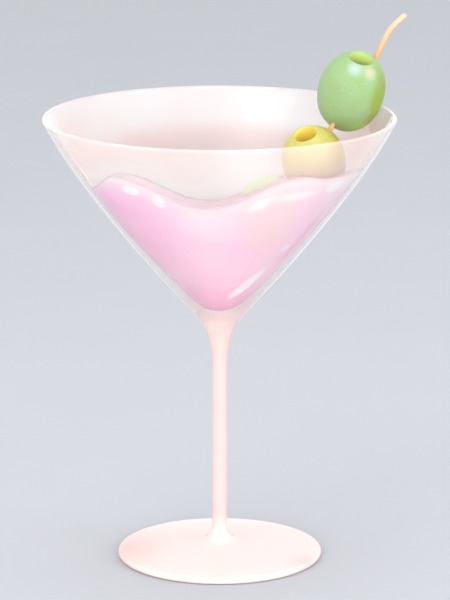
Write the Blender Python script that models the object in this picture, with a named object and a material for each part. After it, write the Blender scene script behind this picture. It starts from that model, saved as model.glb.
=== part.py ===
# A pink martini in its stemmed glass, with three pitted olives on a wooden pick.
# Metres, +Z up. The origin is the middle of the foot's flat underside. The drawing looks
# along +Y, and the pick leans towards +X and a little away from it.

import math

import bmesh
import bpy
from mathutils import Vector

MM = 0.001
GAP = 0.3 * MM                      # kept between pieces that touch in the real thing

# Glass: outside
TURN_STEPS = 60                     # faces round the glass
RIM_RADIUS = 55.0 * MM
RIM_HEIGHT = 142.0 * MM
LIP = 1.5 * MM                      # thickness of the rounded rim
BOWL_BASE_RADIUS = 8.75 * MM        # where the bowl's wall turns into the neck
BOWL_BASE_HEIGHT = 80.0 * MM
WALL_LEAN = math.radians(43.5)      # of the outer wall at its base, from vertical
WALL_LIP_LEAN = math.radians(24.0)  # of the outer wall at the rim
WALL_PULL = 16.0 * MM               # how far the wall keeps to each lean
WALL_LIP_PULL = 20.0 * MM
NECK_PULL = 5.0 * MM                # the same for the neck, at the bowl and at the stem
NECK_STEM_PULL = 9.0 * MM
STEM_RADIUS = 2.4 * MM
STEM_TOP = 62.0 * MM
STEM_BOTTOM = 10.5 * MM
FOOT_RADIUS = 32.4 * MM
FOOT_EDGE = 2.2 * MM                # thickness of the foot at its edge
FOOT_SLOPE = 0.16                   # fall of the foot's top at its edge
FOOT_PULL = 6.5 * MM                # how far the top keeps to its slopes
CROWN_RADIUS = 8.0 * MM             # where the foot's top turns up into the stem
CROWN_HEIGHT = 4.7 * MM
CROWN_SLOPE = 0.09
FILLET_PULL = 4.0 * MM              # reach of the turn, along the stem and along the foot

# Glass: inside
CUP_FLOOR = 80.4 * MM               # lowest point of the inside
CUP_BALL = 11.0 * MM                # radius of the rounded bottom of the inside
CUP_LEAN = math.radians(45.0)       # of the inner wall at its base, from vertical
CUP_LIP_LEAN = math.radians(31.0)   # of the inner wall at the rim
CUP_PULL = 29.5 * MM
CUP_LIP_PULL = 22.5 * MM

# Drink: one long wave across the glass, caught as it swings. Near the walls it turns up on
# the right and down on the left: side, distance from the middle where the turn starts,
# its span and its rise
DRINK_STEPS = 56                    # points round the drink's edge
DRINK_WALL_RINGS = 11
DRINK_TOP_RINGS = 8
DRINK_RING_CROWDING = 1.25          # over 1 sets the rings closer at the rounded floor
DRINK_LEVEL = 118.2 * MM            # mean height of the wave
WAVE_HEIGHT = 4.55 * MM
WAVE_LENGTH = 59.3 * MM
WAVE_TROUGH_X = -3.5 * MM
DRINK_SLOPE = 0.18                  # fall of the drink's top from front to back
WALL_TURNS = ((1, 30.0 * MM, 20.0 * MM, 10.6 * MM), (-1, 31.2 * MM, 14.9 * MM, -6.0 * MM))

# Pick: its point stands on the inner floor and its blunt end is clear of the rim
PICK_POINT = Vector((2.0, -4.0, 81.95)) * MM
PICK_END = Vector((58.0, 19.1, 170.5)) * MM
PICK_BOW = 1.3 * MM                 # of its middle, to the left of the straight line
PICK_BEND = 1.5 * MM                # of the stretch that stands free at the top, the same way
PICK_BEND_START = 0.835             # where that stretch begins, as a share of the length
PICK_BEND_PLACE = 0.945             # where it bends
PICK_BEND_SHARPNESS = 4
PICK_RADIUS = 0.88 * MM             # at the blunt end
PICK_SHANK_RADIUS = 0.74 * MM       # where the point begins
PICK_TIP_RADIUS = 0.2 * MM
PICK_TAPER = 9.0 * MM               # length of the point
PICK_CROWN = 0.55 * MM              # rise of the rounded blunt end
PICK_SHOULDER = 0.72                # radius and rise of the round end's ring, as shares
PICK_SIDES = 12
PICK_RINGS = 20
PICK_RING_CROWDING = 1.6            # over 1 sets the rings closer at the bend

# Olives, from the top of the pick down: centre, half width, half length, and the lean
# of each one's own length to the right and towards the front, in degrees
OLIVE_STEPS = 24
OLIVES = {
    "olive_top": (Vector((41.3, 14.0, 147.4)) * MM, 10.45 * MM, 13.35 * MM, 14.0, 21.0),
    "olive_middle": (Vector((29.4, 7.2, 126.8)) * MM, 10.05 * MM, 11.0 * MM, -17.0, 23.0),
    "olive_bottom": (Vector((15.6, 2.5, 111.8)) * MM, 9.25 * MM, 10.8 * MM, -8.0, -15.0),
}
OLIVE_FULLNESS = 0.94               # under 1 makes the sides fuller than an ellipse's
PIT_WIDTH = 0.35                    # radius of the pit's hole, as a share of the olive's
PIT_DEPTH = 1.25                    # depth of the hole, as a share of the half length
PIT_EDGE = 0.6 * MM                 # rounding of the hole's edge
PIT_NECK = 4.0 * MM                 # depth below the mouth where the hole is narrowest
PIT_NECK_WIDTH = 0.9                # its width there, as a share of the width at the mouth
PIT_FLOOR_ROUND = 3.0 * MM          # rounding of the hole's floor


def clear_scene():
    for item in list(bpy.data.objects):
        bpy.data.objects.remove(item)


def principled(name, color, roughness, transmission=0.0, ior=1.5):
    material = bpy.data.materials.new(name)
    material.use_nodes = True
    shader = material.node_tree.nodes["Principled BSDF"]
    shader.inputs["Base Color"].default_value = (*color, 1.0)
    shader.inputs["Roughness"].default_value = roughness
    shader.inputs["Metallic"].default_value = 0.0
    shader.inputs["Transmission Weight"].default_value = transmission
    shader.inputs["IOR"].default_value = ior
    return material


def place(name, mesh, material=None):
    item = bpy.data.objects.new(name, mesh)
    bpy.context.scene.collection.objects.link(item)
    if material:
        mesh.materials.append(material)
    return item


def make_cutter(item):
    item.hide_render = True
    item.display_type = "WIRE"
    return item


def cut(item, cutter):
    boolean = item.modifiers.new("cut by " + cutter.name, "BOOLEAN")
    boolean.operation = "DIFFERENCE"
    boolean.solver = "EXACT"
    boolean.object = cutter


# Outlines are lists of (radius, height)

def curve(start, pull_start, pull_end, end, steps):
    """Points of a Bezier curve after its start, up to its end."""
    points = []
    for step in range(1, steps + 1):
        t = step / steps
        weights = ((1 - t) ** 3, 3 * t * (1 - t) ** 2, 3 * t * t * (1 - t), t ** 3)
        corners = (start, pull_start, pull_end, end)
        points.append(tuple(sum(w * c[k] for w, c in zip(weights, corners)) for k in (0, 1)))
    return points


def arc(centre, radius, first, last, steps):
    """Points of an arc, first one included. Angles are from straight down, towards +X."""
    points = []
    for step in range(steps + 1):
        angle = first + (last - first) * step / steps
        points.append((centre[0] + radius * math.sin(angle), centre[1] - radius * math.cos(angle)))
    return points


def wall_curve(base, base_lean, base_pull, lip, lip_lean, lip_pull, steps):
    """Wall of the bowl after its base, which leans less and less towards the lip."""
    start = (base[0] + base_pull * math.sin(base_lean), base[1] + base_pull * math.cos(base_lean))
    end = (lip[0] - lip_pull * math.sin(lip_lean), lip[1] - lip_pull * math.cos(lip_lean))
    return curve(base, start, end, lip, steps)


def moved_in(points, gap):
    """The inside's outline, moved off the glass by a gap."""
    moved = [(0.0, points[0][1] + gap)]
    for before, point, after in zip(points, points[1:], points[2:] + points[-1:]):
        along = (after[0] - before[0], after[1] - before[1])
        length = math.hypot(*along)
        moved.append((point[0] - gap * along[1] / length, point[1] + gap * along[0] / length))
    return moved


def cup_outline(gap, ball_steps, wall_steps):
    """Inside of the bowl from the middle of its floor to the lip, moved in by a gap."""
    ball = arc((0.0, CUP_FLOOR + CUP_BALL), CUP_BALL, 0.0, math.pi / 2 - CUP_LEAN, ball_steps)
    lip = (RIM_RADIUS - LIP, RIM_HEIGHT - LIP / 2)
    wall = wall_curve(ball[-1], CUP_LEAN, CUP_PULL, lip, CUP_LIP_LEAN, CUP_LIP_PULL, wall_steps)
    return moved_in(ball + wall, gap)


def glass_outline():
    lip_centre = (RIM_RADIUS - LIP / 2, RIM_HEIGHT - LIP / 2)
    lip = arc(lip_centre, LIP / 2, -math.pi / 2, -3 * math.pi / 2, 5)
    base = (BOWL_BASE_RADIUS, BOWL_BASE_HEIGHT)
    wall = wall_curve(base, WALL_LEAN, WALL_PULL, lip[-1], WALL_LIP_LEAN, WALL_LIP_PULL, 10)
    neck_start = (base[0] - NECK_PULL * math.sin(WALL_LEAN), base[1] - NECK_PULL * math.cos(WALL_LEAN))
    stem_top = (STEM_RADIUS, STEM_TOP)
    neck = curve(base, neck_start, (STEM_RADIUS, STEM_TOP + NECK_STEM_PULL), stem_top, 8)
    stem_bottom = (STEM_RADIUS, STEM_BOTTOM)
    crown = (CROWN_RADIUS, CROWN_HEIGHT)
    fillet_start = (STEM_RADIUS, STEM_BOTTOM - FILLET_PULL)
    fillet_end = (crown[0] - FILLET_PULL, crown[1] + FILLET_PULL * CROWN_SLOPE)
    fillet = curve(stem_bottom, fillet_start, fillet_end, crown, 5)
    shoulder = (FOOT_RADIUS - FOOT_EDGE / 2, FOOT_EDGE)
    top_start = (crown[0] + FOOT_PULL, crown[1] - FOOT_PULL * CROWN_SLOPE)
    top_end = (shoulder[0] - FOOT_PULL, shoulder[1] + FOOT_PULL * FOOT_SLOPE)
    top = curve(crown, top_start, top_end, shoulder, 4)
    edge_centre = (shoulder[0], FOOT_EDGE / 2)
    edge = arc(edge_centre, FOOT_EDGE / 2, math.pi, 0.0, 5)
    inside = cup_outline(0.0, 4, 9)[:-1]
    outside = wall[::-1] + [base] + neck + [stem_bottom] + fillet + top + edge[1:]
    return inside + lip[:-1] + outside + [(0.0, 0.0)]


def olive_outline(half_width, half_length, steps, first=0.0):
    """Outer side of an olive from an angle off its upper end down to its lower end."""
    points = []
    for step in range(steps + 1):
        angle = first + (math.pi - first) * step / steps
        across = abs(math.sin(angle)) ** OLIVE_FULLNESS
        along = math.copysign(abs(math.cos(angle)) ** OLIVE_FULLNESS, math.cos(angle))
        points.append((half_width * across, half_length * along))
    points[-1] = (0.0, -half_length)
    return points


def pitted_outline(half_width, half_length):
    """Olive with the open hole that its pit left, from the hole's floor to the lower end."""
    hole = PIT_WIDTH * half_width
    neck = hole * PIT_NECK_WIDTH
    first = math.asin(((hole + PIT_EDGE) / half_width) ** (1 / OLIVE_FULLNESS))
    outside = olive_outline(half_width, half_length, 11, first)
    mouth = outside[0][1]
    floor = half_length * (1 - PIT_DEPTH)
    narrow = (neck, mouth - PIT_NECK)
    wall = curve((0.0, floor), (neck, floor), (neck, floor + PIT_FLOOR_ROUND), narrow, 5)
    edge = curve(narrow, (neck, mouth - PIT_EDGE), (hole, mouth), outside[0], 3)
    return [(0.0, floor)] + wall + edge[:-1] + outside


def turned(name, outline, steps, material=None):
    """A closed body from an outline that is turned about its own Z axis."""
    mesh = bpy.data.meshes.new(name)
    edges = [(i, i + 1) for i in range(len(outline) - 1)]
    mesh.from_pydata([(radius, 0.0, height) for radius, height in outline], edges, [])
    item = place(name, mesh, material)
    screw = item.modifiers.new("turn", "SCREW")
    screw.steps = steps
    screw.render_steps = steps
    screw.use_merge_vertices = True
    screw.merge_threshold = 0.00001
    screw.use_smooth_shade = True
    return item


def skinned(name, rings, material=None):
    """A closed body from rings of points, with one point at each end."""
    shape = bmesh.new()
    loops = [[shape.verts.new(point) for point in ring] for ring in rings]
    for lower, upper in zip(loops, loops[1:]):
        count = max(len(lower), len(upper))
        for i in range(count):
            a, b = lower[i % len(lower)], lower[(i + 1) % len(lower)]
            c, d = upper[(i + 1) % len(upper)], upper[i % len(upper)]
            corners = [a, b, c, d]
            shape.faces.new(sorted(set(corners), key=corners.index))
    bmesh.ops.recalc_face_normals(shape, faces=shape.faces)
    mesh = bpy.data.meshes.new(name)
    shape.to_mesh(mesh)
    shape.free()
    mesh.shade_smooth()
    mesh.set_sharp_from_angle(angle=math.radians(40))
    return place(name, mesh, material)


def drink_height(x, y):
    """Height of the drink's top. The wave's crests run front to back."""
    phase = 2 * math.pi * (x - WAVE_TROUGH_X) / WAVE_LENGTH
    height = DRINK_LEVEL - WAVE_HEIGHT * math.cos(phase) - DRINK_SLOPE * y
    for side, start, span, rise in WALL_TURNS:
        share = min(1.0, max(0.0, (side * x - start) / span))
        height += rise * share * share * (3 - 2 * share)
    return height


def cup_radius(height, outline):
    """Radius of the cup's inside at a height, read along its outline."""
    for (r0, z0), (r1, z1) in zip(outline, outline[1:]):
        if z0 <= height <= z1:
            return r0 + (r1 - r0) * (height - z0) / (z1 - z0)
    return outline[-1][0]


def drink_edge(direction, outline):
    """Radius at which the drink's top meets the wall, going out along a direction."""
    low, high = 0.0, RIM_RADIUS
    for _ in range(40):
        middle = (low + high) / 2
        height = drink_height(middle * direction[0], middle * direction[1])
        inside = middle < cup_radius(height, outline)
        low, high = (middle, high) if inside else (low, middle)
    return low


def build_drink(material):
    fine = cup_outline(GAP, 12, 60)
    floor = fine[0][1]
    around = [2 * math.pi * i / DRINK_STEPS for i in range(DRINK_STEPS)]
    directions = [(math.cos(a), math.sin(a)) for a in around]
    edges = [drink_edge(d, fine) for d in directions]
    rings = [[Vector((0.0, 0.0, floor))]]
    for k in range(1, DRINK_WALL_RINGS + 1):
        share = (k / DRINK_WALL_RINGS) ** DRINK_RING_CROWDING
        ring = []
        for d, edge in zip(directions, edges):
            height = floor + (drink_height(edge * d[0], edge * d[1]) - floor) * share
            radius = cup_radius(height, fine) if k < DRINK_WALL_RINGS else edge
            ring.append(Vector((radius * d[0], radius * d[1], height)))
        rings.append(ring)
    for k in range(1, DRINK_TOP_RINGS):
        share = 1 - k / DRINK_TOP_RINGS
        points = [(edge * share * d[0], edge * share * d[1]) for d, edge in zip(directions, edges)]
        rings.append([Vector((x, y, drink_height(x, y))) for x, y in points])
    rings.append([Vector((0.0, 0.0, drink_height(0.0, 0.0)))])
    return skinned("drink", rings, material)


def pick_point(t):
    """Centre line of the pick, from 0 at its point to 1 at its blunt end."""
    straight = PICK_END - PICK_POINT
    left = Vector((-straight.z, 0.0, straight.x)).normalized()
    offset = PICK_BOW * 4 * t * (1 - t)
    if PICK_BEND_START < t < 1.0:
        rise = (t - PICK_BEND_START) / (PICK_BEND_PLACE - PICK_BEND_START)
        fall = (1 - t) / (1 - PICK_BEND_PLACE)
        power = PICK_BEND_SHARPNESS
        offset += PICK_BEND * (rise ** -power + fall ** -power) ** (-1 / power)
    return PICK_POINT + straight * t + left * offset


def build_pick(name, gap, material=None):
    """The pick, or with a gap the room that it takes."""
    straight = PICK_END - PICK_POINT
    along = straight.normalized()
    side = along.cross(Vector((0.0, 1.0, 0.0))).normalized()
    up = side.cross(along)
    taper = PICK_TAPER / straight.length
    stations = [0.0, taper * 0.4, taper]
    for k in range(1, PICK_RINGS + 1):
        stations.append(1 - (1 - taper) * (1 - k / PICK_RINGS) ** PICK_RING_CROWDING)
    around = [2 * math.pi * i / PICK_SIDES for i in range(PICK_SIDES)]
    rings = [[PICK_POINT - along * gap]]
    for t in stations:
        shank = PICK_SHANK_RADIUS + (PICK_RADIUS - PICK_SHANK_RADIUS) * t
        radius = gap + PICK_TIP_RADIUS + (shank - PICK_TIP_RADIUS) * min(1.0, t / taper)
        centre = pick_point(t)
        if t in (0.0, 1.0):
            centre += along * gap * (2 * t - 1)
        rings.append([centre + (side * math.cos(a) + up * math.sin(a)) * radius for a in around])
    shoulder = rings[-1]
    lift = along * PICK_CROWN * PICK_SHOULDER
    rings.append([centre + (point - centre) * PICK_SHOULDER + lift for point in shoulder])
    rings.append([pick_point(1.0) + along * (PICK_CROWN + gap)])
    return skinned(name, rings, material)


def set_olive(item, centre, right, front):
    item.location = centre
    item.rotation_euler = (math.radians(front), math.radians(right), 0.0)


def build():
    clear_scene()
    blush_glass = principled("blush glass", (0.97, 0.86, 0.83), 0.04, 0.9, 1.5)
    pink_drink = principled("pink drink", (0.97, 0.58, 0.76), 0.08, 0.5, 1.34)
    pick_wood = principled("pale bamboo", (0.88, 0.58, 0.29), 0.55)
    skins = {
        "olive_top": principled("mint green olive", (0.42, 0.66, 0.27), 0.3),
        "olive_middle": principled("yellow olive", (0.75, 0.64, 0.2), 0.3),
        "olive_bottom": principled("pale green olive", (0.6, 0.7, 0.4), 0.3),
    }

    turned("glass", glass_outline(), TURN_STEPS, blush_glass)
    drink = build_drink(pink_drink)
    build_pick("pick", 0.0, pick_wood)
    pick_room = make_cutter(build_pick("pick_room", GAP))
    cut(drink, pick_room)
    for name, (centre, width, length, right, front) in OLIVES.items():
        olive = turned(name, pitted_outline(width, length), OLIVE_STEPS, skins[name])
        set_olive(olive, centre, right, front)
        cut(olive, pick_room)
        if name != "olive_top":
            outline = olive_outline(width + GAP, length + GAP, 14)
            outline[0] = (0.0, length + GAP)
            room = make_cutter(turned(name + "_room", outline, OLIVE_STEPS))
            set_olive(room, centre, right, front)
            cut(drink, room)


build()
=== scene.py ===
# A pink martini: blush cocktail glass, drink caught in a wave, three pitted olives on a bamboo pick
import math
import bmesh
import bpy
from mathutils import Matrix, Vector, noise


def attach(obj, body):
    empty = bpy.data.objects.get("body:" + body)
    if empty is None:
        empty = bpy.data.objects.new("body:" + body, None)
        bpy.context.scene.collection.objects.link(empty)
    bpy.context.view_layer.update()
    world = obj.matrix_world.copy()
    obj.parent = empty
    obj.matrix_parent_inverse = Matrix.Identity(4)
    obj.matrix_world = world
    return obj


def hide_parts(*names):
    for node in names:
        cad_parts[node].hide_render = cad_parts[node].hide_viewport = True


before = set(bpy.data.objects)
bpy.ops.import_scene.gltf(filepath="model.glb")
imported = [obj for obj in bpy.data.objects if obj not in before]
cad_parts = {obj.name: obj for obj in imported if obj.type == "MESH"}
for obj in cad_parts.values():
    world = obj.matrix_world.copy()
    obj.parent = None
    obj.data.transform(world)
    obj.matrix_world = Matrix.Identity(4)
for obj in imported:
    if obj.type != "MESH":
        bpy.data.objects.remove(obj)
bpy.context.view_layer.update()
mm = 0.001      # metres in a millimetre
tiny = 0.001    # lengths in mm under this count as none


# Colours are written as sRGB hex and turned to linear here
def toLinear(hexColour):
    channels = [int(hexColour[i:i + 2], 16) / 255 for i in (0, 2, 4)]
    linear = [c / 12.92 if c <= 0.04045 else ((c + 0.055) / 1.055) ** 2.4 for c in channels]
    return (*linear, 1.0)


# Adds a node with its settings; a socket given as a value is linked, anything else is set
def addNode(tree, kind, sockets=None, **settings):
    node = tree.nodes.new("ShaderNode" + kind)
    for name, value in settings.items():
        setattr(node, name, value)
    setSockets(tree, node, sockets or {})
    return node


def setSockets(tree, node, sockets):
    for name, value in sockets.items():
        if isinstance(value, bpy.types.NodeSocket):
            tree.links.new(value, node.inputs[name])
        else:
            node.inputs[name].default_value = value


# A Principled material; its patterns are laid in the piece's own space, in metres
def newMaterial(name):
    material = bpy.data.materials.new(name)
    material.use_nodes = True
    tree = material.node_tree
    tree.nodes.clear()
    place = addNode(tree, "TexCoord").outputs["Object"]
    shader = addNode(tree, "BsdfPrincipled")
    addNode(tree, "OutputMaterial", {"Surface": shader.outputs[0]})
    return material, tree, place, shader


# A soft-edged long mark in a material, full along its middle: a share from 0 to its strength.
# Its ends are in millimetres; its width lies in the surface, its depth goes in towards the Z axis
def softMark(tree, place, mark):
    first, last = Vector(mark["start"]) * mm, Vector(mark["end"]) * mm
    along = last - first
    middle = (first + last) / 2
    outward = Vector((middle.x, middle.y, 0.0)).normalized()
    across = outward.cross(along).normalized()
    inward = along.cross(across).normalized()
    turn = Matrix((along.normalized(), across, inward)).transposed()
    mapped = addNode(tree, "Mapping", {
        "Vector": place, "Location": middle, "Rotation": turn.to_euler(),
        "Scale": (along.length / 2, mark["halfWidth"] * mm, mark["halfDepth"] * mm),
    }, vector_type="TEXTURE")
    near = addNode(tree, "TexGradient", {"Vector": mapped.outputs[0]}, gradient_type="SPHERICAL")
    return addNode(tree, "MapRange", {
        "Value": near.outputs["Fac"], "From Max": mark["softness"], "To Max": mark["strength"],
    }, interpolation_type="SMOOTHSTEP").outputs["Result"]


# Lays soft marks over a colour, one after the other
def addMarks(tree, place, colour, marks):
    for markColour, mark in marks:
        mixed = addNode(tree, "Mix", {
            "Factor": softMark(tree, place, mark), "A": colour, "B": toLinear(markColour),
        }, data_type="RGBA")
        colour = mixed.outputs["Result"]
    return colour


# Joins rings of points into one closed skin; a ring may be a single point at either end
def skinRings(rings):
    points = [point for ring in rings for point in ring]
    faces = []
    start = 0
    for lower, upper in zip(rings, rings[1:]):
        above = start + len(lower)
        count = max(len(lower), len(upper))
        for i in range(count):
            j = (i + 1) % count
            below = [start + i % len(lower), start + j % len(lower)]
            over = [above + j % len(upper), above + i % len(upper)]
            faces.append(list(dict.fromkeys(below + over)))
        start = above
    return points, faces


# Turns an outline of (radius, height) about the Z axis into rings of points
def turnOutline(outline, steps):
    rings = []
    for radius, height in outline:
        if radius < tiny:
            rings.append([Vector((0, 0, height))])
            continue
        angles = [2 * math.pi * i / steps for i in range(steps)]
        rings.append([Vector((radius * math.cos(a), radius * math.sin(a), height)) for a in angles])
    return rings


# Makes one closed piece from points in millimetres; it rides on the part's only body
def addPiece(name, points, faces, material, slotName, replaced):
    mesh = bpy.data.meshes.new(name)
    mesh.from_pydata([Vector(point) * mm for point in points], [], faces)
    shape = bmesh.new()
    shape.from_mesh(mesh)
    bmesh.ops.recalc_face_normals(shape, faces=shape.faces)
    shape.to_mesh(mesh)
    shape.free()
    mesh.shade_smooth()
    mesh.materials.append(material)
    piece = bpy.data.objects.new(name, mesh)
    bpy.context.scene.collection.objects.link(piece)
    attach(piece, "root")
    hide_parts(replaced)
    return piece


# Points of a Bezier curve after its start, up to its end
def curve(start, pullStart, pullEnd, end, steps):
    points = []
    for step in range(1, steps + 1):
        t = step / steps
        weights = ((1 - t) ** 3, 3 * t * (1 - t) ** 2, 3 * t * t * (1 - t), t ** 3)
        corners = (start, pullStart, pullEnd, end)
        points.append(tuple(sum(w * c[k] for w, c in zip(weights, corners)) for k in (0, 1)))
    return points


# Points of an arc; angles are degrees from straight down towards +X
def arc(centre, radius, first, last, steps):
    points = []
    for step in range(steps + 1):
        angle = math.radians(first + (last - first) * step / steps)
        points.append((centre[0] + radius * math.sin(angle), centre[1] - radius * math.cos(angle)))
    return points


# Wall of the bowl after its base, which leans less and less towards the lip
def wallCurve(base, baseLean, basePull, lip, lipLean, lipPull, steps):
    low, high = math.radians(baseLean), math.radians(lipLean)
    start = (base[0] + basePull * math.sin(low), base[1] + basePull * math.cos(low))
    end = (lip[0] - lipPull * math.sin(high), lip[1] - lipPull * math.cos(high))
    return curve(base, start, end, lip, steps)


# Eases a share in and out between 0 and 1
def smooth(share):
    share = min(1.0, max(0.0, share))
    return share * share * (3 - 2 * share)


# The drawing looks down on the glass from a little above its rim
camera = {
    "place": (0.0017, -1.0857, 0.3452),    # metres
    "pitch": 13.56,                        # degrees down
    "lens": 213.35, "sensor": 36.0,
    "clip": (0.05, 50.0),
}
cameraData = bpy.data.cameras.new("camera")
cameraData.lens = camera["lens"]
cameraData.sensor_width = camera["sensor"]
cameraData.clip_start, cameraData.clip_end = camera["clip"]
cameraItem = bpy.data.objects.new("camera", cameraData)
cameraItem.location = camera["place"]
cameraItem.rotation_euler = (math.radians(90 - camera["pitch"]), 0.0, 0.0)
bpy.context.scene.collection.objects.link(cameraItem)
bpy.context.scene.camera = cameraItem
bpy.context.scene.view_settings.view_transform = "Standard"    # colours stay as clear as they are set


glass = {
    "turnSteps": 192,
    # points along each stretch of the outline
    "steps": {"lip": 14, "wall": 64, "neck": 36, "shaft": 20, "fillet": 20, "top": 24, "edge": 12},
    "cupSteps": (16, 64),    # along the bowl's rounded floor and its inner wall
    "underRings": (0.98, 0.75, 0.5, 0.25),
    "rimRadius": 55.0, "rimHeight": 142.0, "lip": 1.5,
    "bowlBase": (8.75, 80.0),
    "wallLean": 43.5, "wallPull": 16.0, "wallLipLean": 24.0, "wallLipPull": 20.0,
    "neckPull": 5.0, "neckStemPull": 9.0,
    "stemRadius": 2.4, "stemTop": 62.0, "stemBottom": 10.5,
    "footRadius": 32.4, "footEdge": 2.2, "footSlope": 0.16, "footPull": 6.5,
    "crown": (8.0, 4.7), "crownSlope": 0.09, "filletPull": 4.0,
    "cupFloor": 80.4, "cupBall": 11.0,
    "cupLean": 45.0, "cupPull": 29.5, "cupLipLean": 31.0, "cupLipPull": 22.5,
    "clearColour": "FFFCFA", "blushColour": "FFF5F1",
    "stemColour": "EED2CB", "footColour": "F6E2DD",
    # heights between which the foot's tint turns to the stem's, and the stem's to the bowl's
    "stemFrom": (5.0, 14.0), "bowlFrom": (70.0, 86.0),
    "cloudMm": 24.0,         # size of the faint clouds in the tint
    "cloudSpan": (0.35, 0.65),
    # how clear the glass is at each height: the bloom is thickest in the foot, thinnest round the drink
    "clearness": ((5.0, 0.22), (14.0, 0.4), (70.0, 0.4), (86.0, 0.93), (122.0, 0.93), (131.0, 0.82)),
    "edgeBloom": (0.8, 0.87, 0.88),   # the wall seen edge-on looks milky: from, to, how much
    "ior": 1.01, "roughness": 0.035,
    "waveMm": 14.0, "waveDepthMm": 0.02,   # its surface is never quite even
    "coatRoughness": 0.06, "coatIor": 1.5,
    # painted shade: a deeper peach-pink wash inside the bowl at its right, back and left; the foot is
    # pinker at its left and at its right front
    "marks": (
        ("FFC9BC", {
            "start": (50.0, -16.0, 133.0), "end": (34.0, 36.0, 133.0),
            "halfWidth": 17.0, "halfDepth": 16.0, "softness": 0.9, "strength": 0.8,
        }),
        ("FFD0C4", {
            "start": (-90.0, 42.0, 125.5), "end": (90.0, 42.0, 125.5),
            "halfWidth": 7.0, "halfDepth": 80.0, "softness": 0.7, "strength": 0.35,
        }),
        ("FFD8CE", {
            "start": (-52.0, -10.0, 132.0), "end": (-38.0, 34.0, 132.0),
            "halfWidth": 14.0, "halfDepth": 16.0, "softness": 1.0, "strength": 0.6,
        }),
        ("F0C3B8", {
            "start": (-30.0, -26.0, 3.0), "end": (-30.0, 22.0, 3.0),
            "halfWidth": 18.0, "halfDepth": 18.0, "softness": 1.0, "strength": 0.75,
        }),
        ("F3C8C2", {
            "start": (22.0, -24.0, 2.5), "end": (33.0, -6.0, 2.5),
            "halfWidth": 8.0, "halfDepth": 8.0, "softness": 1.0, "strength": 0.6,
        }),
    ),
}


# Inner side of the bowl from its floor to the lip, moved in by an inset
def cupOutline(inset, ballSteps, wallSteps):
    g = glass
    centre = (0.0, g["cupFloor"] + g["cupBall"])
    ball = arc(centre, g["cupBall"], 0.0, 90.0 - g["cupLean"], ballSteps)
    lip = (g["rimRadius"] - g["lip"], g["rimHeight"] - g["lip"] / 2)
    wall = wallCurve(
        ball[-1], g["cupLean"], g["cupPull"], lip, g["cupLipLean"], g["cupLipPull"], wallSteps,
    )
    points = ball + wall
    moved = [(0.0, points[0][1] + inset)]
    for before, point, after in zip(points, points[1:], points[2:] + points[-1:]):
        along = (after[0] - before[0], after[1] - before[1])
        length = math.hypot(*along)
        moved.append((point[0] - inset * along[1] / length, point[1] + inset * along[0] / length))
    return moved


# The whole glass: up the inner side, over the lip, down to the foot and back under it
def glassOutline():
    g = glass
    steps = g["steps"]
    lipCentre = (g["rimRadius"] - g["lip"] / 2, g["rimHeight"] - g["lip"] / 2)
    lip = arc(lipCentre, g["lip"] / 2, -90.0, -270.0, steps["lip"])
    base = g["bowlBase"]
    wall = wallCurve(
        base, g["wallLean"], g["wallPull"], lip[-1], g["wallLipLean"], g["wallLipPull"], steps["wall"],
    )
    lean = math.radians(g["wallLean"])
    neckStart = (base[0] - g["neckPull"] * math.sin(lean), base[1] - g["neckPull"] * math.cos(lean))
    stem = g["stemRadius"]
    neckEnd = (stem, g["stemTop"])
    neck = curve(base, neckStart, (stem, g["stemTop"] + g["neckStemPull"]), neckEnd, steps["neck"])
    fall = g["stemTop"] - g["stemBottom"]
    shaft = [(stem, g["stemTop"] - fall * k / steps["shaft"]) for k in range(1, steps["shaft"] + 1)]
    crown = g["crown"]
    pull = g["filletPull"]
    filletEnd = (crown[0] - pull, crown[1] + pull * g["crownSlope"])
    fillet = curve(shaft[-1], (stem, g["stemBottom"] - pull), filletEnd, crown, steps["fillet"])
    shoulder = (g["footRadius"] - g["footEdge"] / 2, g["footEdge"])
    topStart = (crown[0] + g["footPull"], crown[1] - g["footPull"] * g["crownSlope"])
    topEnd = (shoulder[0] - g["footPull"], shoulder[1] + g["footPull"] * g["footSlope"])
    top = curve(crown, topStart, topEnd, shoulder, steps["top"])
    edge = arc((shoulder[0], g["footEdge"] / 2), g["footEdge"] / 2, 180.0, 0.0, steps["edge"])
    under = [(edge[-1][0] * share, 0.0) for share in g["underRings"]]
    inside = cupOutline(0.0, *g["cupSteps"])[:-1]
    outside = wall[::-1][1:] + [base] + neck + shaft + fillet + top + edge[1:]
    return inside + lip + outside + under + [(0.0, 0.0)]


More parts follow.
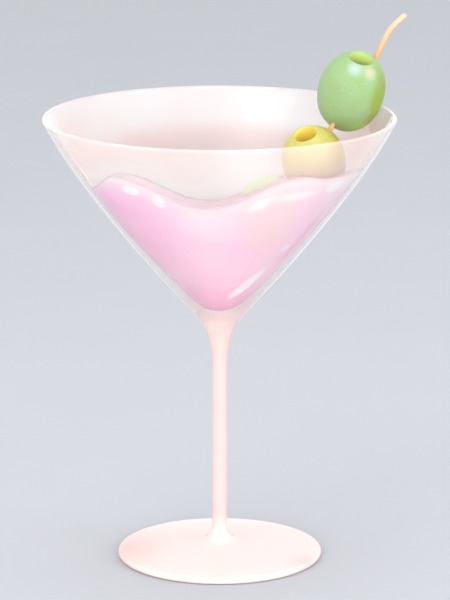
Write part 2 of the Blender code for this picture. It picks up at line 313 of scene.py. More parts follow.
# Blush soda-lime glass, pressed and fire-polished: clear gloss with a faint milky pink bloom
def blushGlass():
    g = glass
    material, tree, place, shader = newMaterial("blushSodaLimeGlass")
    clouds = addNode(tree, "TexNoise", {
        "Vector": place, "Scale": 1 / (g["cloudMm"] * mm), "Detail": 2.0,
    })
    spread = addNode(tree, "MapRange", {
        "Value": clouds.outputs["Fac"], "From Min": g["cloudSpan"][0], "From Max": g["cloudSpan"][1],
    })
    bowlTint = addNode(tree, "Mix", {
        "Factor": spread.outputs["Result"],
        "A": toLinear(g["clearColour"]), "B": toLinear(g["blushColour"]),
    }, data_type="RGBA")
    wave = addNode(tree, "TexNoise", {"Vector": place, "Scale": 1 / (g["waveMm"] * mm), "Detail": 0.0})
    bump = addNode(tree, "Bump", {
        "Height": wave.outputs["Fac"], "Strength": 1.0, "Distance": g["waveDepthMm"] * mm,
    })
    parts = addNode(tree, "SeparateXYZ", {"Vector": place})
    seeThrough = g["clearness"][0][1]
    for (low, clear), (high, clearer) in zip(g["clearness"], g["clearness"][1:]):
        step = addNode(tree, "MapRange", {
            "Value": parts.outputs["Z"], "From Min": low * mm, "From Max": high * mm,
            "To Max": clearer - clear,
        })
        seeThrough = addNode(tree, "Math", {
            0: step.outputs["Result"], 1: seeThrough,
        }, operation="ADD").outputs[0]
    slant = addNode(tree, "LayerWeight", {"Blend": 0.5})
    kept = addNode(tree, "MapRange", {
        "Value": slant.outputs["Facing"], "From Min": g["edgeBloom"][0], "From Max": g["edgeBloom"][1],
        "To Min": 1.0, "To Max": 1 - g["edgeBloom"][2],
    })
    seeThrough = addNode(tree, "Math", {
        0: seeThrough, 1: kept.outputs["Result"],
    }, operation="MULTIPLY").outputs[0]
    bowlShare = addNode(tree, "MapRange", {
        "Value": parts.outputs["Z"],
        "From Min": g["bowlFrom"][0] * mm, "From Max": g["bowlFrom"][1] * mm,
    })
    stemShare = addNode(tree, "MapRange", {
        "Value": parts.outputs["Z"],
        "From Min": g["stemFrom"][0] * mm, "From Max": g["stemFrom"][1] * mm,
    })
    lowTint = addNode(tree, "Mix", {
        "Factor": stemShare.outputs["Result"],
        "A": toLinear(g["footColour"]), "B": toLinear(g["stemColour"]),
    }, data_type="RGBA")
    tint = addNode(tree, "Mix", {
        "Factor": bowlShare.outputs["Result"],
        "A": lowTint.outputs["Result"], "B": bowlTint.outputs["Result"],
    }, data_type="RGBA")
    # the marks paint shade inside the bowl into its tint
    setSockets(tree, shader, {
        "Base Color": addMarks(tree, place, tint.outputs["Result"], g["marks"]),
        "Roughness": g["roughness"], "IOR": g["ior"],
        "Transmission Weight": seeThrough, "Normal": bump.outputs["Normal"],
        "Coat Weight": 1.0, "Coat Roughness": g["coatRoughness"], "Coat IOR": g["coatIor"],
    })
    return material


glassRings = turnOutline(glassOutline(), glass["turnSteps"])
addPiece("cocktailGlass", *skinRings(glassRings), blushGlass(), "glass", "glass")
print("glass made")


# Each olive's middle in mm, its tilt to the right and to the front in degrees, and its own colours;
# its marks are in the olive's own frame, whose Z runs along it towards the hole
olives = {
    "oliveTop": {
        "node": "olive_top", "centre": (41.3, 14.0, 147.4), "halfWidth": 10.45, "halfLength": 13.35,
        "right": 14.0, "front": 21.0,
        "skin": "89AA76", "sideColour": "889C41", "flesh": "B3C372", "pale": "ACC09E",
        "sideFrom": 0.46, "sideTo": 0.72,
        # painted highlights beside the hole, a bluish-white one and a cream one; low down, brighter
        # greens painted as light on the shaded underside
        "marks": (
            ("A4B8B0", {
                "start": (-5.0, -5.2, 11.2), "end": (2.0, -6.2, 11.4),
                "halfWidth": 3.0, "halfDepth": 4.0, "softness": 0.9, "strength": 0.95,
            }),
            ("B2AF92", {
                "start": (1.4, -7.4, 10.4), "end": (6.0, -3.4, 11.6),
                "halfWidth": 2.8, "halfDepth": 4.0, "softness": 0.8, "strength": 0.95,
            }),
            ("8FCB55", {
                "start": (-1.0, -7.0, -10.5), "end": (9.5, -5.0, -5.0),
                "halfWidth": 5.5, "halfDepth": 7.0, "softness": 1.0, "strength": 0.9,
            }),
            ("9BD277", {
                "start": (-8.5, -4.0, -8.0), "end": (-2.0, -6.5, -11.5),
                "halfWidth": 3.0, "halfDepth": 4.0, "softness": 1.0, "strength": 0.8,
            }),
        ),
    },
    "oliveMiddle": {
        "node": "olive_middle", "centre": (29.4, 7.2, 126.8), "halfWidth": 10.05, "halfLength": 11.0,
        "right": -17.0, "front": 23.0,
        "skin": "BCB768", "sideColour": "B4A544", "flesh": "DBC556", "pale": "D0CB94",
        "sideFrom": 0.35, "sideTo": 0.95, "marks": (),
    },
    "oliveBottom": {
        "node": "olive_bottom", "centre": (15.6, 2.5, 111.8), "halfWidth": 9.25, "halfLength": 10.8,
        "right": -8.0, "front": -15.0,
        "skin": "B6CA98", "sideColour": "AEBB6E", "flesh": "C8D180", "pale": "D8DFC2",
        "sideFrom": 0.35, "sideTo": 0.95, "marks": (),
    },
}
olive = {
    "steps": 120, "sideSteps": 64, "pitSteps": 28, "edgeSteps": 14,
    "fullness": 0.94,
    "pitWidth": 0.35, "pitDepth": 1.25, "pitEdge": 0.6,
    "pitNeck": 4.0, "pitNeckWidth": 0.9, "pitRound": 3.0,
    "dentMm": 9.0, "dentDepth": 0.16,      # soft unevenness of the fruit
    "dentUpright": 0.6,                    # less of it along the fruit than across
    "raggedMm": 1.6, "raggedDepth": 0.13,  # the pitter tears the hole's edge a little
    "tornHeight": 0.9, "tornRadius": 4.0, "tornWidth": 1.5,
    "speckMm": 1.5, "speckSize": 0.2,      # pores of the skin, as a share of their spacing
    "speckCore": 0.4, "speckStrength": 0.55,
    "poreMm": 0.55, "poreDepthMm": 0.03, "poreStrength": 0.6,
    "blotchMm": 5.5,                       # patches that ripened sooner
    "blotchSpan": (0.3, 0.7), "blotchShare": (-0.25, 0.3),
    "lowEnd": (-0.55, -1.0),               # the side colour returns here, as a share of the half length
    "holeEdge": (0.25, -0.1),              # flesh begins this near the hole's wall, in mm
    "holeLow": (-0.5, -0.3),               # and only above here, as a share of the half length
    "roughness": 0.42, "roughSpan": (0.7, 1.4),
    "coat": 0.05, "coatRoughness": 0.2, "ior": 1.42,
    "glow": 0.2, "glowRadius": (0.0022, 0.0026, 0.0012),
}


# Outer side of an olive from the edge of its hole to its low end
def oliveSide(halfWidth, halfLength, steps, first):
    points = []
    for step in range(steps + 1):
        angle = first + (math.pi - first) * step / steps
        across = abs(math.sin(angle)) ** olive["fullness"]
        along = math.copysign(abs(math.cos(angle)) ** olive["fullness"], math.cos(angle))
        points.append((halfWidth * across, halfLength * along))
    points[-1] = (0.0, -halfLength)
    return points


# The same with the hole that the pitter left; also gives the height of the hole's mouth
def pittedOutline(halfWidth, halfLength):
    o = olive
    hole = o["pitWidth"] * halfWidth
    neck = hole * o["pitNeckWidth"]
    first = math.asin(((hole + o["pitEdge"]) / halfWidth) ** (1 / o["fullness"]))
    outside = oliveSide(halfWidth, halfLength, o["sideSteps"], first)
    mouth = outside[0][1]
    floor = halfLength * (1 - o["pitDepth"])
    narrow = (neck, mouth - o["pitNeck"])
    wall = curve((0.0, floor), (neck, floor), (neck, floor + o["pitRound"]), narrow, o["pitSteps"])
    edge = curve(narrow, (neck, mouth - o["pitEdge"]), (hole, mouth), outside[0], o["edgeSteps"])
    return [(0.0, floor)] + wall + edge[:-1] + outside, mouth


# Green olive in brine: waxy moist skin with pale pores, a darker yellow-green towards one side and the
# low end, soft flesh in the hole
def oliveSkin(name, look):
    o = olive
    halfWidth, halfLength = look["halfWidth"] * mm, look["halfLength"] * mm
    material, tree, place, shader = newMaterial(name + "BrinedSkin")
    parts = addNode(tree, "SeparateXYZ", {"Vector": place})
    blotches = addNode(tree, "TexNoise", {
        "Vector": place, "Scale": 1 / (o["blotchMm"] * mm), "Detail": 3.0,
    })
    side = addNode(tree, "MapRange", {
        "Value": parts.outputs["X"],
        "From Min": look["sideFrom"] * halfWidth, "From Max": look["sideTo"] * halfWidth,
    })
    low = addNode(tree, "MapRange", {
        "Value": parts.outputs["Z"],
        "From Min": o["lowEnd"][0] * halfLength, "From Max": o["lowEnd"][1] * halfLength,
    })
    warm = addNode(tree, "Math", {
        0: side.outputs["Result"], 1: low.outputs["Result"],
    }, operation="MAXIMUM")
    uneven = addNode(tree, "MapRange", {
        "Value": blotches.outputs["Fac"],
        "From Min": o["blotchSpan"][0], "From Max": o["blotchSpan"][1],
        "To Min": o["blotchShare"][0], "To Max": o["blotchShare"][1],
    })
    sideAndBlotches = addNode(tree, "Math", {
        0: warm.outputs[0], 1: uneven.outputs["Result"],
    }, operation="ADD", use_clamp=True)
    skin = addNode(tree, "Mix", {
        "Factor": sideAndBlotches.outputs[0], "A": toLinear(look["skin"]), "B": toLinear(look["sideColour"]),
    }, data_type="RGBA")
    pores = addNode(tree, "TexVoronoi", {"Vector": place, "Scale": 1 / (o["speckMm"] * mm)})
    specks = addNode(tree, "MapRange", {
        "Value": pores.outputs["Distance"],
        "From Min": o["speckSize"], "From Max": o["speckSize"] * o["speckCore"],
        "To Max": o["speckStrength"],
    })
    speckled = addNode(tree, "Mix", {
        "Factor": specks.outputs["Result"], "A": skin.outputs["Result"], "B": toLinear(look["pale"]),
    }, data_type="RGBA")
    flat = addNode(tree, "VectorMath", {0: place, 1: (1.0, 1.0, 0.0)}, operation="MULTIPLY")
    away = addNode(tree, "VectorMath", {0: flat.outputs[0]}, operation="LENGTH")
    hole = o["pitWidth"] * halfWidth
    inHole = addNode(tree, "MapRange", {
        "Value": away.outputs["Value"],
        "From Min": hole + o["holeEdge"][0] * mm, "From Max": hole + o["holeEdge"][1] * mm,
    })
    above = addNode(tree, "MapRange", {
        "Value": parts.outputs["Z"],
        "From Min": o["holeLow"][0] * halfLength, "From Max": o["holeLow"][1] * halfLength,
    })
    fleshy = addNode(tree, "Math", {
        0: inHole.outputs["Result"], 1: above.outputs["Result"],
    }, operation="MULTIPLY")
    # an olive's marks paint highlights and light into its skin
    marked = addMarks(tree, place, speckled.outputs["Result"], look["marks"])
    colour = addNode(tree, "Mix", {
        "Factor": fleshy.outputs[0], "A": marked, "B": toLinear(look["flesh"]),
    }, data_type="RGBA")
    fine = addNode(tree, "TexNoise", {"Vector": place, "Scale": 1 / (o["poreMm"] * mm), "Detail": 2.0})
    bump = addNode(tree, "Bump", {
        "Height": fine.outputs["Fac"], "Strength": o["poreStrength"], "Distance": o["poreDepthMm"] * mm,
    })
    rough = addNode(tree, "MapRange", {
        "Value": blotches.outputs["Fac"],
        "To Min": o["roughness"] * o["roughSpan"][0], "To Max": o["roughness"] * o["roughSpan"][1],
    })
    setSockets(tree, shader, {
        "Base Color": colour.outputs["Result"], "Roughness": rough.outputs["Result"], "IOR": o["ior"],
        "Coat Weight": o["coat"], "Coat Roughness": o["coatRoughness"],
        "Subsurface Weight": o["glow"], "Subsurface Radius": o["glowRadius"], "Subsurface Scale": 1.0,
        "Normal": bump.outputs["Normal"],
    })
    return material


def buildOlive(name, look):
    o = olive
    outline, mouth = pittedOutline(look["halfWidth"], look["halfLength"])
    rings = turnOutline(outline, o["steps"])
    seed = Vector(look["centre"])
    for ring in rings:
        for point in ring:
            dent = noise.noise((point + seed) / o["dentMm"]) * o["dentDepth"]
            outward = Vector((point.x, point.y, point.z * o["dentUpright"]))
            reach = outward.length
            if reach > tiny:
                point += outward / reach * dent
            away = math.hypot(point.x, point.y)
            nearMouth = math.exp(-((point.z - mouth) / o["tornHeight"]) ** 2)
            nearEdge = nearMouth * math.exp(-((away - o["tornRadius"]) / o["tornWidth"]) ** 2)
            tear = noise.noise((point + seed * 2) / o["raggedMm"]) * o["raggedDepth"] * nearEdge
            point.x += tear * point.x / max(away, 0.5)    # 0.5 keeps the middle still
            point.y += tear * point.y / max(away, 0.5)
            point.z += tear
    piece = addPiece(name, *skinRings(rings), oliveSkin(name, look), look["node"], look["node"])
    piece.location = Vector(look["centre"]) * mm
    piece.rotation_euler = (math.radians(look["front"]), math.radians(look["right"]), 0.0)
    return piece


for oliveName, oliveLook in olives.items():
    buildOlive(oliveName, oliveLook)
print("olives made")


pick = {
    "point": (2.0, -4.0, 81.95), "end": (58.0, 19.1, 170.5), "bow": 1.3,
    "bend": 1.5, "bendStart": 0.835, "bendPlace": 0.945, "bendSharpness": 4,
    "radius": 0.88, "shankRadius": 0.74, "tipRadius": 0.2, "taper": 9.0, "crown": 0.55,
    "sides": 28, "rings": 120, "crownRings": 5,
    "tipRings": (0.0, 0.2, 0.4, 0.7, 1.0),    # along the taper
    "grainTurns": 1.5, "grainLengths": 9.0, "grainDepth": 0.05,   # split wood is never quite round
    "fibreMm": 0.22, "fibreLengthMm": 16.0,   # bamboo's long bundles
    "fibreSpan": (0.35, 0.75), "fibreDepthMm": 0.05, "fibreStrength": 0.5,
    "paleColour": "DAA57C", "darkColour": "B98555", "endColour": "DFBC9E", "roughness": 0.5,
    "paleEnd": (92.0, 105.0, 0.8),            # the end turns paler between these lengths, this much
}


# Centre line of the pick, from 0 at its point to 1 at its blunt end
def pickPoint(t):
    point, end = Vector(pick["point"]), Vector(pick["end"])
    straight = end - point
    left = Vector((-straight.z, 0.0, straight.x)).normalized()
    offset = pick["bow"] * 4 * t * (1 - t)
    if pick["bendStart"] < t < 1.0:
        rise = (t - pick["bendStart"]) / (pick["bendPlace"] - pick["bendStart"])
        fall = (1 - t) / (1 - pick["bendPlace"])
        power = pick["bendSharpness"]
        offset += pick["bend"] * (rise ** -power + fall ** -power) ** (-1 / power)
    return point + straight * t + left * offset


# Split bamboo, turned and left raw: pale straw colour with long darker fibres and a dull satin
def bamboo():
    p = pick
    material, tree, place, shader = newMaterial("turnedBamboo")
    stretch = addNode(tree, "VectorMath", {
        0: place, 1: (1 / (p["fibreMm"] * mm), 1 / (p["fibreMm"] * mm), 1 / (p["fibreLengthMm"] * mm)),
    }, operation="MULTIPLY")
    fibres = addNode(tree, "TexNoise", {"Vector": stretch.outputs[0], "Scale": 1.0, "Detail": 2.0})
    share = addNode(tree, "MapRange", {
        "Value": fibres.outputs["Fac"], "From Min": p["fibreSpan"][0], "From Max": p["fibreSpan"][1],
    })
    wood = addNode(tree, "Mix", {
        "Factor": share.outputs["Result"],
        "A": toLinear(p["paleColour"]), "B": toLinear(p["darkColour"]),
    }, data_type="RGBA")
    parts = addNode(tree, "SeparateXYZ", {"Vector": place})
    towardEnd = addNode(tree, "MapRange", {
        "Value": parts.outputs["Z"],
        "From Min": p["paleEnd"][0] * mm, "From Max": p["paleEnd"][1] * mm, "To Max": p["paleEnd"][2],
    })
    colour = addNode(tree, "Mix", {
        "Factor": towardEnd.outputs["Result"], "A": wood.outputs["Result"], "B": toLinear(p["endColour"]),
    }, data_type="RGBA")
    bump = addNode(tree, "Bump", {
        "Height": fibres.outputs["Fac"],
        "Strength": p["fibreStrength"], "Distance": p["fibreDepthMm"] * mm,
    })
    setSockets(tree, shader, {
        "Base Color": colour.outputs["Result"], "Roughness": p["roughness"],
        "Normal": bump.outputs["Normal"],
    })
    return material


def buildPick():
    p = pick
    start, end = Vector(p["point"]), Vector(p["end"])
    straight = end - start
    along = straight.normalized()
    side = along.cross(Vector((0.0, 1.0, 0.0))).normalized()
    up = along.cross(side)
    taper = p["taper"] / straight.length
    stations = [taper * share for share in p["tipRings"]]
    stations += [taper + (1 - taper) * k / p["rings"] for k in range(1, p["rings"] + 1)]
    rings = [[start]]
    for t in stations:
        shank = p["shankRadius"] + (p["radius"] - p["shankRadius"]) * t
        radius = p["tipRadius"] + (shank - p["tipRadius"]) * min(1.0, t / taper)
        ring = []
        for i in range(p["sides"]):
            angle = 2 * math.pi * i / p["sides"]
            cos, sin = math.cos(angle), math.sin(angle)
            spot = Vector((cos * p["grainTurns"], sin * p["grainTurns"], t * p["grainLengths"]))
            grain = noise.noise(spot) * p["grainDepth"]
            ring.append(pickPoint(t) + (side * cos + up * sin) * (radius + grain))
        rings.append(ring)
    last = rings[-1]
    for k in range(1, p["crownRings"]):
        lean = math.pi / 2 * k / p["crownRings"]
        lift = along * (p["crown"] * math.sin(lean))
        rings.append([end + (point - end) * math.cos(lean) + lift for point in last])
    rings.append([end + along * p["crown"]])
    # the mesh is laid in the pick's own space, whose Z runs along it, so that the fibres do too
    turn = Matrix((side, up, along)).transposed()
    local = [[turn.transposed() @ (point - start) for point in ring] for ring in rings]
    piece = addPiece("bambooPick", *skinRings(local), bamboo(), "pick", "pick")
    piece.location = start * mm
    piece.rotation_euler = turn.to_euler()
    return piece


buildPick()
print("pick made")


drink = {
    "steps": 300, "wallRings": 64, "topRings": 64,
    "wallCrowding": 1.25, "topCrowding": 1.5,   # rings lie closer together at the floor and at the edge
    "cupSteps": (24, 120), "intoWall": 0.15,
    "edgeHalvings": 40,                    # steps of the search for the top's edge
    "level": 118.2, "waveHeight": 4.55, "waveLength": 59.3, "troughX": -3.5, "slope": 0.18,
    "turns": ((1, 30.0, 20.0, 10.6), (-1, 31.2, 14.9, -6.0)),   # side, start, span, rise
    "creep": 0.9, "creepReach": 0.8,       # liquid climbs this much at the glass
    "garnishCreep": 0.7,                   # and this share of it at the garnish
    "rippleMm": 8.0, "ripple": 0.12,
    "paleColour": "FFD2E4", "deepColour": "FFB2D9", "topColour": "FFBCDC", "edgeColour": "FF96CB",
    "ior": 1.34, "roughness": 0.18, "transmission": 0.22, "coat": 0.1, "coatRoughness": 0.05,
    "glowMm": 25.0, "glow": (1.0, 0.8, 0.9),
    "swirlMm": 22.0, "swirlTwist": 1.2,
    "swirlSpan": (0.3, 0.7), "swirlShare": (-0.12, 0.16),
    "deepBelow": (98.0, 81.0),             # the pink deepens between these heights
    "deepLeft": (-4.0, -36.0, 0.9),        # and towards this side, up to this share
    "skinBelow": (0.7, 0.1),               # the top has its own even pink: from and to this depth
    "menisci": (0.08, 0.35),               # climb at which the edge line begins and is full
    "marks": (
        # painted see-through: faint greyish patches where the lowest olive and the pick would show
        # through the drink
        ("E4DBD4", {
            "start": (5.6, -34.0, 117.5), "end": (25.0, -34.0, 117.5),
            "halfWidth": 16.5, "halfDepth": 18.0, "softness": 0.2, "strength": 0.5,
        }),
        ("EDBDCB", {
            "start": (4.5, -13.0, 88.0), "end": (13.0, -26.0, 107.0),
            "halfWidth": 0.5, "halfDepth": 6.0, "softness": 0.7, "strength": 0.35,
        }),
        # the pink gathers at the right edge
        ("FFA5CC", {
            "start": (14.0, -10.0, 93.0), "end": (35.0, -20.0, 121.0),
            "halfWidth": 3.5, "halfDepth": 8.0, "softness": 0.9, "strength": 0.7,
        }),
        # painted highlights: pale streaks laid into the drink's colour
        ("FFFAFC", {
            "start": (1.2, -9.4, 85.2), "end": (15.8, -16.0, 99.2),
            "halfWidth": 2.5, "halfDepth": 4.0, "softness": 0.45, "strength": 0.9,
        }),
        ("FFFAFC", {
            "start": (18.6, -18.3, 102.2), "end": (21.8, -18.8, 105.8),
            "halfWidth": 2.0, "halfDepth": 4.0, "softness": 0.6, "strength": 0.6,
        }),
        ("FFFAFC", {
            "start": (7.4, -38.6, 119.6), "end": (17.5, -39.6, 125.3),
            "halfWidth": 2.7, "halfDepth": 4.0, "softness": 0.7, "strength": 0.8,
        }),
        ("FFFAFC", {
            "start": (12.5, -40.3, 124.2), "end": (32.4, -27.8, 124.6),
            "halfWidth": 2.7, "halfDepth": 5.0, "softness": 0.7, "strength": 0.8,
        }),
        # painted highlights: pale patches under the surface, the last one broad and faint
        ("FFFAFC", {
            "start": (-29.9, -31.8, 125.7), "end": (-23.5, -36.8, 125.7),
            "halfWidth": 2.1, "halfDepth": 4.0, "softness": 0.4, "strength": 0.85,
        }),
        ("FFFAFC", {
            "start": (-20.5, -36.3, 122.8), "end": (-15.9, -38.5, 122.8),
            "halfWidth": 2.9, "halfDepth": 4.0, "softness": 0.4, "strength": 0.55,
        }),
        ("FFFAFC", {
            "start": (32.2, -29.0, 124.9), "end": (38.2, -20.4, 124.9),
            "halfWidth": 2.2, "halfDepth": 4.0, "softness": 0.4, "strength": 0.8,
        }),
        ("FFFAFC", {
            "start": (-16.0, -36.5, 117.5), "end": (10.0, -33.0, 112.0),
            "halfWidth": 8.5, "halfDepth": 8.0, "softness": 0.5, "strength": 0.22,
        }),
    ),
}


# Height of the drink's top: a wave that swings round at both sides, with small ripples
def drinkHeight(x, y):
    d = drink
    phase = 2 * math.pi * (x - d["troughX"]) / d["waveLength"]
    height = d["level"] - d["waveHeight"] * math.cos(phase) - d["slope"] * y
    for side, start, span, rise in d["turns"]:
        height += rise * smooth((side * x - start) / span)
    return height + noise.noise(Vector((x, y, 0.0)) / d["rippleMm"]) * d["ripple"]


# Radius of the bowl's inner side at a height
def cupRadius(height, outline):
    for (r0, z0), (r1, z1) in zip(outline, outline[1:]):
        if z0 <= height <= z1:
            return r0 + (r1 - r0) * (height - z0) / (z1 - z0)
    return outline[-1][0]


# Radius at which the drink's top, with its climb, meets the wall along a direction
def drinkEdge(direction, outline):
    low, high = 0.0, glass["rimRadius"]
    for _ in range(drink["edgeHalvings"]):
        middle = (low + high) / 2
        height = drinkHeight(middle * direction[0], middle * direction[1]) + drink["creep"]
        inside = middle < cupRadius(height, outline)
        low, high = (middle, high) if inside else (low, middle)
    return low


# How far a point is from the nearest piece of the garnish
def garnishDistance(point):
    nearest = math.inf
    for look in olives.values():
        turn = Matrix.Rotation(math.radians(look["right"]), 3, "Y")
        turn = turn @ Matrix.Rotation(math.radians(look["front"]), 3, "X")
        local = turn.transposed() @ (point - Vector(look["centre"]))
        width, length = look["halfWidth"], look["halfLength"]
        scaled = Vector((local.x / width, local.y / width, local.z / length))
        nearest = min(nearest, abs(scaled.length - 1) * width)
    start, end = Vector(pick["point"]), Vector(pick["end"])
    t = min(1.0, max(0.0, (point - start).dot(end - start) / (end - start).length_squared))
    return min(nearest, (point - pickPoint(t)).length - pick["shankRadius"])


# A point of the drink's top, with its climb at the glass and the garnish
def topPoint(x, y, fromWall):
    d = drink
    height = drinkHeight(x, y)
    nearGarnish = max(0.0, garnishDistance(Vector((x, y, height))))
    atWall = math.exp(-fromWall / d["creepReach"])
    atGarnish = d["garnishCreep"] * math.exp(-nearGarnish / d["creepReach"])
    return Vector((x, y, height + d["creep"] * max(atWall, atGarnish)))


# Height of the wave in the material, as drinkHeight gives it for the mesh
def waveNodes(tree, parts):
    d = drink
    turn = 2 * math.pi / (d["waveLength"] * mm)
    phase = addNode(tree, "Math", {
        0: parts.outputs["X"], 1: turn, 2: -turn * d["troughX"] * mm,
    }, operation="MULTIPLY_ADD")
    crest = addNode(tree, "Math", {0: phase.outputs[0]}, operation="COSINE")
    wave = addNode(tree, "Math", {
        0: crest.outputs[0], 1: -d["waveHeight"] * mm, 2: d["level"] * mm,
    }, operation="MULTIPLY_ADD")
    height = addNode(tree, "Math", {
        0: parts.outputs["Y"], 1: -d["slope"], 2: wave.outputs[0],
    }, operation="MULTIPLY_ADD")
    for side, start, span, rise in d["turns"]:
        lift = addNode(tree, "MapRange", {
            "Value": parts.outputs["X"],
            "From Min": side * start * mm, "From Max": side * (start + span) * mm, "To Max": rise * mm,
        }, interpolation_type="SMOOTHSTEP")
        height = addNode(tree, "Math", {
            0: height.outputs[0], 1: lift.outputs["Result"],
        }, operation="ADD")
    return height.outputs[0]


# Pink gin and cranberry, shaken: cloudy, so that light glows in it, under a wet gloss; its colour holds
# painted highlights
def pinkDrink():
    d = drink
    material, tree, place, shader = newMaterial("shakenPinkCocktail")
    parts = addNode(tree, "SeparateXYZ", {"Vector": place})
    swirl = addNode(tree, "TexNoise", {
        "Vector": place, "Scale": 1 / (d["swirlMm"] * mm), "Detail": 2.0, "Distortion": d["swirlTwist"],
    })
    depth = addNode(tree, "MapRange", {
        "Value": parts.outputs["Z"],
        "From Min": d["deepBelow"][0] * mm, "From Max": d["deepBelow"][1] * mm,
    })
    left = addNode(tree, "MapRange", {
        "Value": parts.outputs["X"],
        "From Min": d["deepLeft"][0] * mm, "From Max": d["deepLeft"][1] * mm, "To Max": d["deepLeft"][2],
    })
    inside = addNode(tree, "Math", {
        0: depth.outputs["Result"], 1: left.outputs["Result"],
    }, operation="MAXIMUM")
    climb = addNode(tree, "Math", {
        0: parts.outputs["Z"], 1: waveNodes(tree, parts),
    }, operation="SUBTRACT")
    edgeLine = addNode(tree, "MapRange", {
        "Value": climb.outputs[0],
        "From Min": d["menisci"][0] * mm, "From Max": d["menisci"][1] * mm,
    })
    onTop = addNode(tree, "MapRange", {
        "Value": climb.outputs[0],
        "From Min": -d["skinBelow"][0] * mm, "From Max": -d["skinBelow"][1] * mm,
    })
    uneven = addNode(tree, "MapRange", {
        "Value": swirl.outputs["Fac"],
        "From Min": d["swirlSpan"][0], "From Max": d["swirlSpan"][1],
        "To Min": d["swirlShare"][0], "To Max": d["swirlShare"][1],
    })
    share = addNode(tree, "Math", {
        0: inside.outputs[0], 1: uneven.outputs["Result"],
    }, operation="ADD", use_clamp=True)
    pink = addNode(tree, "Mix", {
        "Factor": share.outputs[0], "A": toLinear(d["paleColour"]), "B": toLinear(d["deepColour"]),
    }, data_type="RGBA")
    # the marks paint highlights and see-through patches into the pink
    marked = addMarks(tree, place, pink.outputs["Result"], d["marks"])
    top = addNode(tree, "Mix", {
        "Factor": onTop.outputs["Result"], "A": marked, "B": toLinear(d["topColour"]),
    }, data_type="RGBA")
    colour = addNode(tree, "Mix", {
        "Factor": edgeLine.outputs["Result"], "A": top.outputs["Result"], "B": toLinear(d["edgeColour"]),
    }, data_type="RGBA")
    setSockets(tree, shader, {
        "Base Color": colour.outputs["Result"], "Roughness": d["roughness"], "IOR": d["ior"],
        "Transmission Weight": d["transmission"],
        "Subsurface Weight": 1.0, "Subsurface Radius": d["glow"], "Subsurface Scale": d["glowMm"] * mm,
        "Coat Weight": d["coat"], "Coat Roughness": d["coatRoughness"], "Coat IOR": d["ior"],
    })
    return material


def buildDrink():
    d = drink
    inside = cupOutline(-d["intoWall"], *d["cupSteps"])
    floor = inside[0][1]
    angles = [2 * math.pi * i / d["steps"] for i in range(d["steps"])]
    directions = [(math.cos(a), math.sin(a)) for a in angles]
    edges = [drinkEdge(direction, inside) for direction in directions]
    rings = [[Vector((0.0, 0.0, floor))]]
    for k in range(1, d["wallRings"] + 1):
        share = (k / d["wallRings"]) ** d["wallCrowding"]
        ring = []
        for (cos, sin), edge in zip(directions, edges):
            top = drinkHeight(edge * cos, edge * sin) + d["creep"]
            height = floor + (top - floor) * share
            radius = cupRadius(height, inside) if k < d["wallRings"] else edge
            ring.append(Vector((radius * cos, radius * sin, height)))
        rings.append(ring)
    for k in range(1, d["topRings"]):
        share = 1 - (k / d["topRings"]) ** d["topCrowding"]
        ring = []
        for (cos, sin), edge in zip(directions, edges):
            reach = edge * share
            ring.append(topPoint(reach * cos, reach * sin, edge - reach))
        rings.append(ring)
    rings.append([topPoint(0.0, 0.0, edges[0])])
    return addPiece("pinkDrink", *skinRings(rings), pinkDrink(), "drink", "drink")


buildDrink()
print("drink made")


stage = {
    "size": 9.0, "drop": 0.0001, "colour": "B3B7BC", "mottleColour": "B7BBBF", "roughness": 0.7,
    "mottle": 12.0,                        # patches in the paper for each metre
    "skyColour": "F6F6F8", "skyStrength": 1.1, "horizonStrength": 1.3,
    "skyFrom": (0.05, 0.7),                # sines of the heights between which the horizon turns to sky
    "lightsAim": (0.0, 0.0, 0.09),
}
lights = {
    # name: place, width, height, watts, colour, spread in degrees (a narrow one fades towards its
    # edges), whether it shows in gloss
    "keyLight": ((-0.55, -0.75, 1.15), 1.1, 1.1, 0.5, "FFF9F2", 56.0, True),
    "fillLight": ((1.9, -0.95, 0.75), 0.9, 1.1, 20.0, "F7F8FF", 180.0, False),
    "lowLight": ((-0.4, -2.6, 0.55), 3.0, 0.9, 66.0, "FFFFFF", 180.0, False),
    "topLight": ((0.0, 0.1, 1.3), 0.9, 0.9, 0.35, "FFFFFF", 56.0, False),
}


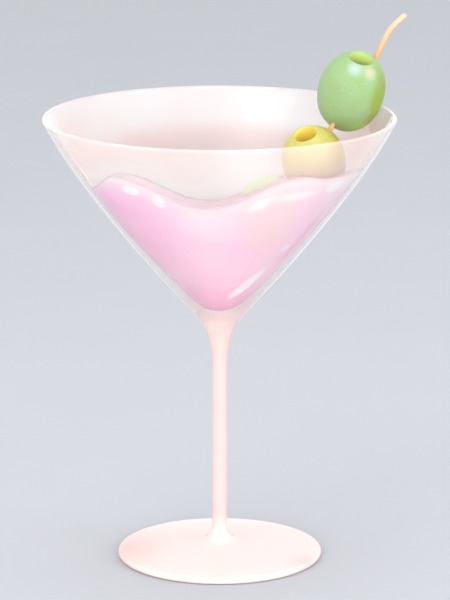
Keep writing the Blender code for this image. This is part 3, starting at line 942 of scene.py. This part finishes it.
# Matte studio paper: a soft even grey that holds only the foot's faint shadow
def buildFloor():
    material, tree, place, shader = newMaterial("matteStudioPaper")
    mottle = addNode(tree, "TexNoise", {"Vector": place, "Scale": stage["mottle"], "Detail": 3.0})
    shade = addNode(tree, "Mix", {
        "Factor": mottle.outputs["Fac"],
        "A": toLinear(stage["colour"]), "B": toLinear(stage["mottleColour"]),
    }, data_type="RGBA")
    setSockets(tree, shader, {"Base Color": shade.outputs["Result"], "Roughness": stage["roughness"]})
    half = stage["size"] / 2
    corners = [(-half, -half, 0), (half, -half, 0), (half, half, 0), (-half, half, 0)]
    mesh = bpy.data.meshes.new("floor")
    mesh.from_pydata(corners, [], [(0, 1, 2, 3)])
    mesh.materials.append(material)
    floor = bpy.data.objects.new("floor", mesh)
    floor.location.z = -stage["drop"]
    bpy.context.scene.collection.objects.link(floor)


def buildLights():
    world = bpy.data.worlds.new("studio")
    bpy.context.scene.world = world
    world.use_nodes = True
    tree = world.node_tree
    background = tree.nodes["Background"]
    way = addNode(tree, "SeparateXYZ", {"Vector": addNode(tree, "TexCoord").outputs["Generated"]})
    # brightest at the horizon, as between the softboxes of a white room
    glow = addNode(tree, "MapRange", {
        "Value": way.outputs["Z"], "From Min": stage["skyFrom"][0], "From Max": stage["skyFrom"][1],
        "To Min": stage["horizonStrength"], "To Max": stage["skyStrength"],
    })
    setSockets(tree, background, {
        "Color": toLinear(stage["skyColour"]), "Strength": glow.outputs["Result"],
    })
    for name, (place, width, height, watts, colour, spread, inGloss) in lights.items():
        data = bpy.data.lights.new(name, "AREA")
        data.shape = "RECTANGLE"
        data.size = width
        data.size_y = height
        data.energy = watts
        data.spread = math.radians(spread)
        data.color = toLinear(colour)[:3]
        item = bpy.data.objects.new(name, data)
        item.location = place
        item.visible_glossy = inGloss
        aim = Vector(stage["lightsAim"]) - Vector(place)
        item.rotation_euler = aim.to_track_quat("-Z", "Y").to_euler()
        bpy.context.scene.collection.objects.link(item)


buildFloor()
buildLights()
print("floor and lights made")
